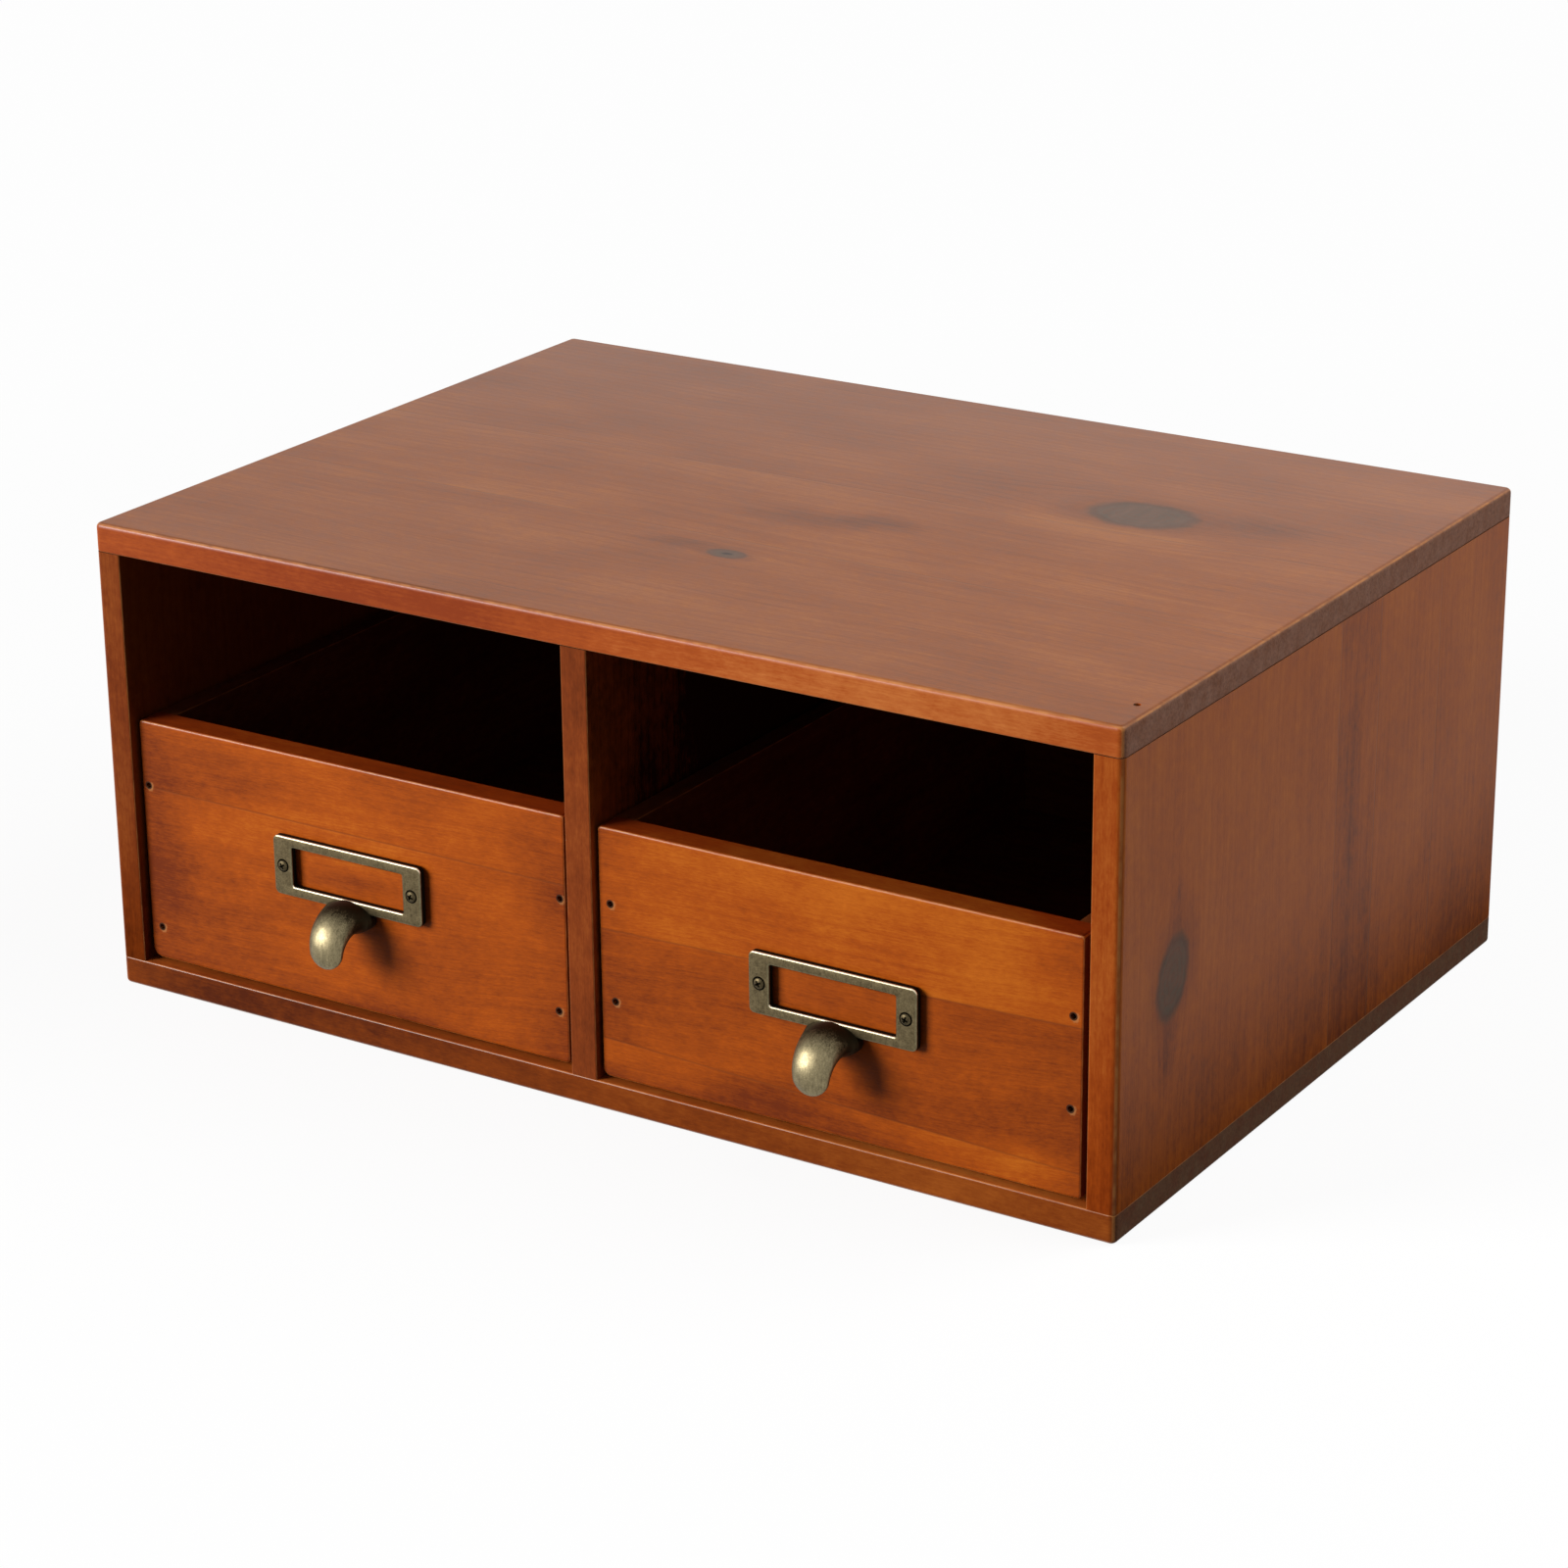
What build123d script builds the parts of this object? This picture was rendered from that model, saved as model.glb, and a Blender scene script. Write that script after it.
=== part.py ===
from build123d import *
from math import cos, exp, pi, sin, sqrt
import os

# Desktop drawer organizer: a nailed softwood case with two open-topped drawers side by side.
# Each drawer carries a cast brass label holder with a finger pull.
# Millimetres, +X to the right, +Y to the back, +Z up. Origin: middle of the case's underside.

os.makedirs("parts", exist_ok=True)

# Case boards
case_width = 350.0
case_depth = 250.0
case_height = 150.0
board = 9.0
corner_round = 2.0
edge_round = 1.5
opening_round = 0.6

# Back panel, held in a rebate all round
panel = 3.5
rebate = 5.0
panel_fit = 0.1

# Drawers
side_gap_left = 0.9
side_gap_right = 2.6
floor_clearance = 0.3
home_clearance = 0.3
left_setback = 3.0
right_setback = 2.0
drawer_height = 78.7
front_lift = 0.9
front_thickness = 9.0
wall = 7.0
drawer_round = 0.8
upper_corner = 1.3
left_lower_corners = (3.5, 1.6)
right_lower_corners = (2.5, 1.2)

# Drawer bottom, slid into a groove from the back
bottom_panel = 3.0
groove_depth = 3.0
groove_lift = 4.0
groove_fit = 0.2

# Nails: shank radius, head radius, head height, length.
# Case nails and brads are punched below the surface, and pins lie just under it.
case_nail = (0.8, 1.1, 1.0, 28.0)
brad = (0.6, 0.85, 0.9, 22.0)
pin = (0.5, 1.1, 0.5, 10.0)
head_depth = 1.5
head_flush = 0.2
driven_fit = 0.02
nail_inset = 5.5
nail_margin = 17.5
nails_per_row = 4
pin_edge = 2.5
pins_per_row = 5
pins_per_column = 3
back_brad_margin = 16.0
bottom_pin_margin = 20.0
bottom_pins = 3
cut_past = 1.0

# Brads through each drawer front: distance from its near end, height above the case's underside
left_front_brads = {"left": ((2.5, 67.1), (4.3, 20.7)), "right": ((2.0, 62.1), (3.4, 26.4))}
right_front_brads = {"left": ((3.9, 64.7), (5.0, 34.5)), "right": ((3.1, 64.2), (3.6, 36.7))}

# Label holder: a cast frame with a window, a slot for the card behind it, and two screws
holder_width = 55.0
holder_height = 18.9
holder_depth = 2.8
holder_corner = 1.8
holder_bevel = 0.45
holder_offset = 1.1
holder_level = 52.7
window_width = 41.4
window_height = 12.6
window_corner = 0.6
card_width = 44.4
card_slot = 0.7
card_rest = 1.2
screw_spacing = 48.0

# Finger pull: a tongue that leaves the lower bar, bends down and ends in a round tip.
# Its front ridge runs straight out at pull_top, then turns down round pull_bend.
pull_top = 46.3
pull_end = 28.4
pull_reach = 16.7
pull_bend = 12.5
pull_start = 0.4
pull_width = 13.4
pull_flare = 4.6
flare_length = 5.5
pull_thickness = 4.3
pull_swell = 5.8
swell_length = 17.0
tip_taper = 0.2
tip_round = 4.8
body_stations = 9
tip_stations = (0.45, 0.75, 0.92, 0.98)

# Label screws: oval heads with a cross recess
screw_radius = 1.0
screw_head = 1.8
screw_dome = 0.75
screw_sink = 1.2
screw_length = 8.4
screw_point = 1.6
screw_fit = 0.1
recess_length = 2.1
recess_width = 0.6
recess_depth = 1.3

# Places that follow from the sizes above
front_y = -case_depth / 2
back_y = case_depth / 2
panel_y = back_y - panel
inner_height = case_height - 2 * board
opening_width = (case_width - 3 * board) / 2
opening_middle = (board + opening_width) / 2
drawer_width = opening_width - side_gap_left - side_gap_right
drawer_floor = board + floor_clearance
drawer_top = drawer_floor + drawer_height
drawer_back = panel_y - home_clearance
drawer_length = drawer_back - (front_y + left_setback)
side_length = drawer_length - front_thickness
groove_height = bottom_panel + groove_fit
groove_bottom = drawer_floor + groove_lift
bottom_top = groove_bottom + bottom_panel
inner_width = drawer_width - 2 * wall
pull_ridge = pull_reach - pull_bend - pull_start + pull_bend * pi / 2 + pull_top - pull_bend - pull_end


def spread(count, first, last):
    """Evenly spaced places from first to last."""
    return [first + (last - first) * i / (count - 1) for i in range(count)]


def level(x, y, z):
    """Horizontal plane through a point."""
    return Plane(origin=(x, y, z))


def upright(x, y, z):
    """Plane through a point that faces the front."""
    return Plane(origin=(x, y, z), x_dir=(1, 0, 0), z_dir=(0, -1, 0))


def facing(x, y, z, direction):
    """Plane through a point whose normal is the way a nail's head faces."""
    return Plane(origin=(x, y, z), z_dir=direction)


def save(piece, name):
    """Labels a finished piece and writes its file."""
    piece.part.label = name
    export_step(piece.part, f"parts/{name}.step")


# Nails and screws

def nail(sizes, fit=0.0, above=0.0):
    """Round nail that points down, its head's top at the origin; fit and above make its bore."""
    shank_radius, head_radius, head_height, length = sizes
    shank = shank_radius + fit
    head = head_radius + fit
    shoulder = -head_height - (head - shank)
    point = 2 * shank_radius
    with BuildPart() as piece:
        with BuildSketch(Plane.XZ):
            with BuildLine():
                Polyline(
                    (0, above),
                    (head, above),
                    (head, -head_height),
                    (shank, shoulder),
                    (shank, point - length),
                    (0, -length - fit),
                    close=True,
                )
            make_face()
        revolve(axis=Axis.Z)
    return piece.part


def screw_body(fit=0.0):
    """Screw that points down, the rim of its oval head level with the origin; fit makes its bore."""
    shank = screw_radius + fit
    head = screw_head + fit
    dome_radius = (head**2 + screw_dome**2) / (2 * screw_dome)
    dome_middle = sqrt(dome_radius**2 - (head / 2) ** 2) - dome_radius + screw_dome
    with BuildPart() as piece:
        with BuildSketch(Plane.XZ):
            with BuildLine():
                crown = ThreePointArc((0, screw_dome), (head / 2, dome_middle), (head, 0))
                Polyline(
                    crown @ 1,
                    (shank, -screw_sink),
                    (shank, screw_point - screw_length),
                    (0, -screw_length - fit),
                    crown @ 0,
                )
            make_face()
        revolve(axis=Axis.Z)
    return piece.part


def nail_group(name, nail_part, planes):
    """Writes one node that holds a copy of a nail at each plane."""
    with BuildPart() as piece:
        with Locations(*planes):
            add(nail_part)
    save(piece, name)


case_nail_part = nail(case_nail)
case_nail_bore = nail(case_nail, fit=driven_fit)
case_nail_open = nail(case_nail, fit=driven_fit, above=head_depth + cut_past)
brad_part = nail(brad)
brad_open = nail(brad, fit=driven_fit, above=head_depth + cut_past)
pin_part = nail(pin)
pin_open = nail(pin, fit=driven_fit, above=head_flush + cut_past)

# Rows of case nails: both sides and the divider, top and bottom
row_x = [-case_width / 2 + nail_inset, 0.0, case_width / 2 - nail_inset]
row_y = spread(nails_per_row, front_y + nail_margin, back_y - nail_margin)
top_nails = {x: [facing(x, y, case_height - head_depth, (0, 0, 1)) for y in row_y] for x in row_x}
bottom_nails = {x: [facing(x, y, head_depth, (0, 0, -1)) for y in row_y] for x in row_x}
open_nail = top_nails[row_x[2]][0]

# Pins that hold the back panel in its rebate
rebate_x = case_width / 2 - board + pin_edge
rebate_low = board - pin_edge
rebate_high = case_height - rebate_low
pin_row = spread(pins_per_row, -rebate_x, rebate_x)
pin_column = spread(pins_per_column, rebate_low, rebate_high)[1:-1]
back_pins = [facing(x, back_y - head_flush, z, (0, 1, 0)) for x in pin_row for z in (rebate_low, rebate_high)]
back_pins += [facing(x, back_y - head_flush, z, (0, 1, 0)) for x in (-rebate_x, rebate_x) for z in pin_column]


# Case

def back_rebate():
    """The space cut from the four outer boards for the back panel."""
    width = case_width - 2 * board + 2 * rebate
    height = inner_height + 2 * rebate
    with BuildPart() as space:
        with BuildSketch(upright(0, panel_y, case_height / 2)):
            Rectangle(width, height)
        extrude(amount=-panel - cut_past)
    return space.part


rebate_space = back_rebate()


def flat_board(name, bottom, nails, bore):
    """Top or bottom board, as wide and deep as the case; it covers the ends of the upright boards."""
    outer = -1 if bottom > 0 else 0
    inner = 0 if bottom > 0 else -1
    with BuildPart() as piece:
        with BuildSketch(level(0, 0, bottom)):
            RectangleRounded(case_width, case_depth, corner_round)
        extrude(amount=board)
        fillet(piece.faces().sort_by(Axis.Z)[outer].edges(), edge_round)
        fillet(piece.faces().sort_by(Axis.Z)[inner].edges().sort_by(Axis.Y)[0], opening_round)
        add(rebate_space, mode=Mode.SUBTRACT)
        with Locations(*nails):
            add(bore, mode=Mode.SUBTRACT)
        with Locations(*back_pins):
            add(pin_open, mode=Mode.SUBTRACT)
        if bottom > 0:
            with Locations(open_nail):
                add(case_nail_open, mode=Mode.SUBTRACT)
    save(piece, name)


def upright_board(name, x_low, x_high, nails, depth):
    """Side board or divider between the top and bottom boards."""
    x_middle = (x_low + x_high) / 2
    outside = abs(x_middle) > board
    with BuildPart() as piece:
        with BuildSketch(level(x_middle, front_y + depth / 2, board)):
            Rectangle(x_high - x_low, depth)
        extrude(amount=inner_height)
        front_edges = piece.edges().filter_by(Axis.Z).group_by(Axis.Y)[0].sort_by(Axis.X)
        if outside:
            outer_edges = piece.edges().filter_by(Axis.Z).group_by(Axis.X)[0 if x_middle < 0 else -1]
            inner_edge = front_edges[-1] if x_middle < 0 else front_edges[0]
            fillet(outer_edges, corner_round)
            fillet(inner_edge, opening_round)
            add(rebate_space, mode=Mode.SUBTRACT)
            with Locations(*back_pins):
                add(pin_open, mode=Mode.SUBTRACT)
        else:
            fillet(front_edges, opening_round)
        with Locations(*nails):
            add(case_nail_bore, mode=Mode.SUBTRACT)
    save(piece, name)


def back_sheet(name):
    """Thin panel in the rebate, flush with the back of the case."""
    width = case_width - 2 * board + 2 * rebate - 2 * panel_fit
    height = inner_height + 2 * rebate - 2 * panel_fit
    with BuildPart() as piece:
        with BuildSketch(upright(0, panel_y, case_height / 2)):
            Rectangle(width, height)
        extrude(amount=-panel)
        with Locations(*back_pins):
            add(pin_open, mode=Mode.SUBTRACT)
    save(piece, name)


def case():
    """Boards, back panel and nails of the case."""
    side = case_width / 2
    top_list = [plane for x in row_x for plane in top_nails[x]]
    bottom_list = [plane for x in row_x for plane in bottom_nails[x]]
    left_nails, middle_nails, right_nails = [top_nails[x] + bottom_nails[x] for x in row_x]
    flat_board("top_board", case_height - board, top_list, case_nail_bore)
    flat_board("bottom_board", 0.0, bottom_list, case_nail_open)
    upright_board("left_side_board", -side, board - side, left_nails, case_depth)
    upright_board("right_side_board", side - board, side, right_nails, case_depth)
    upright_board("centre_divider", -board / 2, board / 2, middle_nails, case_depth - panel)
    back_sheet("back_panel")
    nail_group("top_board_nails", case_nail_part, top_list)
    nail_group("bottom_board_nails", case_nail_part, bottom_list)
    nail_group("back_panel_pins", pin_part, back_pins)


# Drawer boards

def drawer_front(name, x_middle, face_y, lower_corners, brads, screws):
    """Front board; it laps the ends of the drawer sides, and its lower corners are worn round."""
    bottom = drawer_floor + front_lift
    height = drawer_top - bottom
    with BuildPart() as piece:
        with BuildSketch(upright(x_middle, face_y, bottom + height / 2)):
            Rectangle(drawer_width, height)
        extrude(amount=-front_thickness)
        corner_edges = piece.edges().filter_by(Axis.Y).group_by(Axis.Z)
        lower_left, lower_right = corner_edges[0].sort_by(Axis.X)
        fillet(corner_edges[-1], upper_corner)
        fillet(lower_left, lower_corners[0])
        fillet(lower_right, lower_corners[1])
        fillet(piece.faces().sort_by(Axis.Y)[0].edges(), drawer_round)
        with BuildSketch(level(x_middle, face_y + front_thickness - groove_depth / 2, groove_bottom)):
            Rectangle(inner_width + 2 * groove_depth, groove_depth)
        extrude(amount=groove_height, mode=Mode.SUBTRACT)
        with Locations(*brads):
            add(brad_open, mode=Mode.SUBTRACT)
        with Locations(*screws):
            add(screw_body(driven_fit), mode=Mode.SUBTRACT)
    save(piece, name)


def drawer_side(name, x_outer, inward, face_y, brads):
    """Side board behind the front, with the groove that carries the bottom."""
    x_middle = x_outer + inward * wall / 2
    start = face_y + front_thickness
    with BuildPart() as piece:
        with BuildSketch(level(x_middle, start + side_length / 2, drawer_floor)):
            Rectangle(wall, side_length)
        extrude(amount=drawer_height)
        top_edges = piece.faces().sort_by(Axis.Z)[-1].edges().filter_by(Axis.Y)
        fillet(top_edges, drawer_round)
        groove_x = x_outer + inward * (wall - groove_depth / 2)
        with BuildSketch(level(groove_x, start + side_length / 2, groove_bottom)):
            Rectangle(groove_depth, side_length)
        extrude(amount=groove_height, mode=Mode.SUBTRACT)
        with Locations(*brads):
            add(brad_open, mode=Mode.SUBTRACT)
    save(piece, name)


def drawer_rear(name, x_middle, rear_y, brads, pins):
    """Back board between the sides, standing on the drawer bottom."""
    with BuildPart() as piece:
        with BuildSketch(level(x_middle, rear_y - wall / 2, bottom_top)):
            Rectangle(inner_width, wall)
        extrude(amount=drawer_top - bottom_top)
        fillet(piece.faces().sort_by(Axis.Z)[-1].edges().filter_by(Axis.X), drawer_round)
        with Locations(*brads):
            add(brad_open, mode=Mode.SUBTRACT)
        with Locations(*pins):
            add(pin_open, mode=Mode.SUBTRACT)
    save(piece, name)


def drawer_bottom(name, x_middle, face_y, rear_y, pins):
    """Thin bottom in the grooves of the front and sides; it runs out under the back board."""
    width = inner_width + 2 * (groove_depth - groove_fit)
    start = face_y + front_thickness - groove_depth + groove_fit
    with BuildPart() as piece:
        with BuildSketch(level(x_middle, (start + rear_y) / 2, groove_bottom)):
            Rectangle(width, rear_y - start)
        extrude(amount=bottom_panel)
        with Locations(*pins):
            add(pin_open, mode=Mode.SUBTRACT)
    save(piece, name)


# Label holder and finger pull

def pull_section(along):
    """Ridge point, tilt, width and thickness of the tongue at a distance along its ridge."""
    straight = pull_reach - pull_bend - pull_start
    arc = pull_bend * pi / 2
    if along < straight:
        forward, drop, tilt = pull_start + along, 0.0, 0.0
    elif along < straight + arc:
        tilt = (along - straight) / pull_bend
        forward = pull_start + straight + pull_bend * sin(tilt)
        drop = pull_bend * (1 - cos(tilt))
    else:
        forward, drop, tilt = pull_reach, pull_bend + along - straight - arc, pi / 2
    past_face = max(0.0, along - (holder_depth - pull_start))
    taper = tip_taper * (past_face / (pull_ridge - holder_depth + pull_start)) ** 2
    width = (pull_width + pull_flare * exp(-past_face / flare_length)) * (1 - taper)
    thickness = pull_thickness + pull_swell * exp(-((past_face / swell_length) ** 2))
    return forward, drop, tilt, width, thickness


def finger_pull(x_middle, face_y):
    """Tongue that grows from the lower bar of the label holder: its right half is lofted, then mirrored."""
    body = pull_ridge - tip_round
    stations = [(along, 1.0) for along in spread(body_stations, 0.0, body)]
    stations += [(body + tip_round * t, sqrt(1 - t * t)) for t in tip_stations]
    with BuildPart() as piece:
        for along, shrink in stations:
            forward, drop, tilt, width, thickness = pull_section(along)
            inside = forward - thickness / 2 * sin(tilt)
            height = pull_top - drop - thickness / 2 * cos(tilt)
            half_width = width / 2 * shrink
            half_thickness = thickness / 2 * shrink
            section = Plane(
                origin=(x_middle, face_y - inside, height),
                x_dir=(1, 0, 0),
                z_dir=(0, -cos(tilt), -sin(tilt)),
            )
            with BuildSketch(section):
                with BuildLine():
                    Line((0, -half_thickness), (0, half_thickness))
                    EllipticalCenterArc((0, 0), half_width, half_thickness, -90)
                    EllipticalCenterArc((0, 0), half_width, half_thickness, 0)
                make_face()
        loft()
        mirror(about=Plane.YZ.offset(x_middle))
    return piece.part


def label_holder(name, x_middle, face_y, screws):
    """Cast frame with its window, the slot behind it for a card, and the finger pull."""
    with BuildPart() as piece:
        with BuildSketch(upright(x_middle, face_y, holder_level)):
            RectangleRounded(holder_width, holder_height, holder_corner)
            RectangleRounded(window_width, window_height, window_corner, mode=Mode.SUBTRACT)
        extrude(amount=holder_depth)
        chamfer(piece.faces().sort_by(Axis.Y)[0].edges(), holder_bevel)
        slot_bottom = holder_level - window_height / 2 - card_rest
        slot_height = holder_level + holder_height / 2 - slot_bottom
        with BuildSketch(upright(x_middle, face_y, slot_bottom + slot_height / 2)):
            Rectangle(card_width, slot_height)
        extrude(amount=card_slot, mode=Mode.SUBTRACT)
        with Locations(*screws):
            add(screw_body(screw_fit), mode=Mode.SUBTRACT)
        add(finger_pull(x_middle, face_y))
    save(piece, name)


def label_screws(name, screws):
    """Two oval-headed screws with a cross recess."""
    with BuildPart() as screw:
        add(screw_body())
        with BuildSketch(Plane.XY.offset(screw_dome)):
            Rectangle(recess_length, recess_width)
            Rectangle(recess_width, recess_length)
        extrude(amount=-recess_depth, mode=Mode.SUBTRACT)
    nail_group(name, screw.part, screws)


# Whole drawer

def drawer(side, opening_x, setback, lower_corners, front_brads):
    """The ten nodes of one drawer, from its place in the case and its own brad places."""
    x_left = opening_x - opening_width / 2 + side_gap_left
    x_right = x_left + drawer_width
    x_middle = (x_left + x_right) / 2
    face_y = front_y + setback
    rear_y = face_y + drawer_length
    holder_x = x_middle + holder_offset
    brad_places = [(x_left + inset, z) for inset, z in front_brads["left"]]
    brad_places += [(x_right - inset, z) for inset, z in front_brads["right"]]
    brads = [facing(x, face_y + head_depth, z, (0, -1, 0)) for x, z in brad_places]
    rear_z = (bottom_top + back_brad_margin, drawer_top - back_brad_margin)
    left_brads = [facing(x_left + head_flush, rear_y - wall / 2, z, (-1, 0, 0)) for z in rear_z]
    right_brads = [facing(x_right - head_flush, rear_y - wall / 2, z, (1, 0, 0)) for z in rear_z]
    pin_reach = inner_width / 2 - bottom_pin_margin
    pin_x = spread(bottom_pins, x_middle - pin_reach, x_middle + pin_reach)
    pins = [facing(x, rear_y - wall / 2, groove_bottom + head_flush, (0, 0, -1)) for x in pin_x]
    screw_x = (holder_x - screw_spacing / 2, holder_x + screw_spacing / 2)
    screws = [facing(x, face_y - holder_depth, holder_level, (0, -1, 0)) for x in screw_x]
    drawer_front(f"{side}_drawer_front", x_middle, face_y, lower_corners, brads, screws)
    drawer_side(f"{side}_drawer_left_side", x_left, 1, face_y, brads + left_brads)
    drawer_side(f"{side}_drawer_right_side", x_right, -1, face_y, brads + right_brads)
    drawer_rear(f"{side}_drawer_back", x_middle, rear_y, left_brads + right_brads, pins)
    drawer_bottom(f"{side}_drawer_bottom", x_middle, face_y, rear_y, pins)
    nail_group(f"{side}_drawer_front_brads", brad_part, brads)
    nail_group(f"{side}_drawer_back_brads", brad_part, left_brads + right_brads)
    nail_group(f"{side}_drawer_bottom_pins", pin_part, pins)
    label_holder(f"{side}_drawer_label_pull", holder_x, face_y, screws)
    label_screws(f"{side}_drawer_label_screws", screws)


case()
drawer("left", -opening_middle, left_setback, left_lower_corners, left_front_brads)
drawer("right", opening_middle, right_setback, right_lower_corners, right_front_brads)
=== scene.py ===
from collections import namedtuple
from functools import partial
from math import cos, exp, pi, radians, sin

import bmesh
import bpy
from mathutils import Matrix, Quaternion, Vector


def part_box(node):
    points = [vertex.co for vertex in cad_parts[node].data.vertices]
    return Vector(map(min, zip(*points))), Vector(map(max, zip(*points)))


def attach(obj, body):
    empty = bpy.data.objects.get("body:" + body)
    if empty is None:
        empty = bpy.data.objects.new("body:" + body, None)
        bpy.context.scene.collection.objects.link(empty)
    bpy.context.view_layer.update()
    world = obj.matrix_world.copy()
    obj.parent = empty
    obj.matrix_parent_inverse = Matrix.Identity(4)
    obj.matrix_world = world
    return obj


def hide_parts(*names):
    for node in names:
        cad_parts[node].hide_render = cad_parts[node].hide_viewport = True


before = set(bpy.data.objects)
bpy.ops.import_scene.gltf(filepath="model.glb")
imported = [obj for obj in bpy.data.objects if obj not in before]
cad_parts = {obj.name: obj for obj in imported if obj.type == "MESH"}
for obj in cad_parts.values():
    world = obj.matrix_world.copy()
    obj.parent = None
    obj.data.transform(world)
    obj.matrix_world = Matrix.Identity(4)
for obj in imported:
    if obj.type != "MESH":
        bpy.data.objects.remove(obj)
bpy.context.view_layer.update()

MM = 0.001
PER_MM = (1 / MM, 1 / MM, 1 / MM)
scene = bpy.context.scene

# Settings that many nodes share: a soft step in Map Range, and colours in Mix
SMOOTH = {"interpolation_type": "SMOOTHSTEP"}
COLOURS = {"data_type": "RGBA"}


def colour(code):
    """A hex sRGB colour as linear values."""
    values = [int(code[i:i + 2], 16) / 255 for i in (0, 2, 4)]
    return [v / 12.92 if v <= 0.04045 else ((v + 0.055) / 1.055) ** 2.4 for v in values] + [1.0]


def node(tree, kind, *values, out=0, stops=(), **settings):
    """Adds a node with its settings and links, and returns one of its outputs.

    Values fill its open inputs in order. A capitalised name is an input, and any other name is a setting.
    stops are the places and colours of a colour ramp."""
    made = tree.nodes.new("ShaderNode" + kind)
    for key, value in settings.items():
        if key[0].islower():
            setattr(made, key, value)
    while len(stops) > 2 and len(made.color_ramp.elements) < len(stops):
        made.color_ramp.elements.new(0.5)
    for i, (place, shade) in enumerate(stops):
        made.color_ramp.elements[i].position = place
        made.color_ramp.elements[i].color = shade
    fill = list(zip([socket for socket in made.inputs if socket.enabled], values))
    fill += [(made.inputs[key.replace("_", " ")], value) for key, value in settings.items()
             if key[0].isupper()]
    for socket, value in fill:
        if isinstance(value, bpy.types.NodeSocket):
            tree.links.new(value, socket)
        else:
            socket.default_value = value
    if isinstance(out, str):
        return made.outputs[out]
    outputs = [socket for socket in made.outputs if socket.enabled]
    return outputs[out] if outputs else None


def new_material(name):
    """An empty node material and its tree."""
    made = bpy.data.materials.new(name)
    made.use_nodes = True
    made.node_tree.nodes.clear()
    return made, made.node_tree


# Stage and light
#
# White paper under and behind the object. It is white to the camera and in mirrors, and a plain grey where
# it lights the object. Near the object it keeps a faint share of the real shadow, which fades out between
# SHADOW_NEAR and SHADOW_FAR. Lengths are in metres, the lens and its sensor in mm, the roll in degrees.

WHITE = 0.985
AMBIENT = 0.075
FLOOR_GREY = 0.10
FLOOR_HALF = 6.0
FLOOR_DROP = 0.2 * MM
SHADOW_SHARE = 0.10
SHADOW_BASE = 0.905
SHADOW_NEAR = 0.35
SHADOW_FAR = 0.8
LAMP_AIM = Vector((0, 0, 0.07))

CAMERA_LENS = 99.5
CAMERA_SENSOR = 36.0
CAMERA_PLACE = (0.6699, -1.0620, 0.5353)
CAMERA_FORWARD = (-0.5042, 0.7876, -0.3542)
CAMERA_ROLL = -0.571


def seen_plainly(tree):
    """1 for rays from the camera, straight or by way of a mirror or glass, and 0 for rays that light."""
    path = node(tree, "LightPath").node
    seen = node(tree, "Math", path.outputs["Is Camera Ray"], path.outputs["Is Glossy Ray"],
                operation="MAXIMUM")
    return node(tree, "Math", seen, path.outputs["Is Transmission Ray"], operation="MAXIMUM")


def grey(value):
    """An even grey."""
    return value, value, value, 1


def studio():
    """World that is white to see and a plain grey to light with."""
    world = bpy.data.worlds.new("studio")
    scene.world = world
    world.use_nodes = True
    tree = world.node_tree
    tree.nodes.clear()
    level = node(tree, "MapRange", seen_plainly(tree), 0.0, 1.0, AMBIENT, WHITE)
    node(tree, "OutputWorld", node(tree, "Background", grey(1), level))


def paper_floor():
    """White paper under the object, which keeps a faint shadow round it."""
    mesh = bpy.data.meshes.new("floor")
    shape = bmesh.new()
    bmesh.ops.create_grid(shape, x_segments=1, y_segments=1, size=FLOOR_HALF)
    bmesh.ops.translate(shape, verts=shape.verts, vec=(0, 0, -FLOOR_DROP))
    shape.to_mesh(mesh)
    shape.free()
    floor = bpy.data.objects.new("floor", mesh)
    scene.collection.objects.link(floor)
    paper, tree = new_material("white_paper_sweep")
    away = node(tree, "VectorMath", node(tree, "TexCoord", out="Object"), operation="LENGTH")
    open_floor = node(tree, "MapRange", away, SHADOW_NEAR, SHADOW_FAR, **SMOOTH)
    faint = node(tree, "BsdfDiffuse", grey(SHADOW_SHARE))
    near = node(tree, "AddShader", faint, node(tree, "Emission", grey(1), SHADOW_BASE))
    shown = node(tree, "MixShader", open_floor, near, node(tree, "Emission", grey(1), WHITE))
    lighting = node(tree, "BsdfDiffuse", grey(FLOOR_GREY))
    node(tree, "OutputMaterial", node(tree, "MixShader", seen_plainly(tree), lighting, shown))
    paper.cycles.emission_sampling = "NONE"
    mesh.materials.append(paper)


def lamp(name, direction, distance, size, watts):
    """Soft square lamp that looks at the middle of the object."""
    data = bpy.data.lights.new(name, "AREA")
    data.size = size
    data.energy = watts
    made = bpy.data.objects.new(name, data)
    aim = Vector(direction).normalized()
    made.location = aim * distance + LAMP_AIM
    made.rotation_euler = aim.to_track_quat("Z", "Y").to_euler()
    scene.collection.objects.link(made)


def camera():
    """Camera at the photograph's viewpoint, level apart from a slight roll."""
    data = bpy.data.cameras.new("camera")
    data.lens = CAMERA_LENS
    data.sensor_width = CAMERA_SENSOR
    made = bpy.data.objects.new("camera", data)
    made.location = CAMERA_PLACE
    turn = Vector(CAMERA_FORWARD).to_track_quat("-Z", "Y")
    made.rotation_euler = (turn @ Quaternion((0, 0, 1), radians(CAMERA_ROLL))).to_euler()
    scene.collection.objects.link(made)
    scene.camera = made


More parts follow.
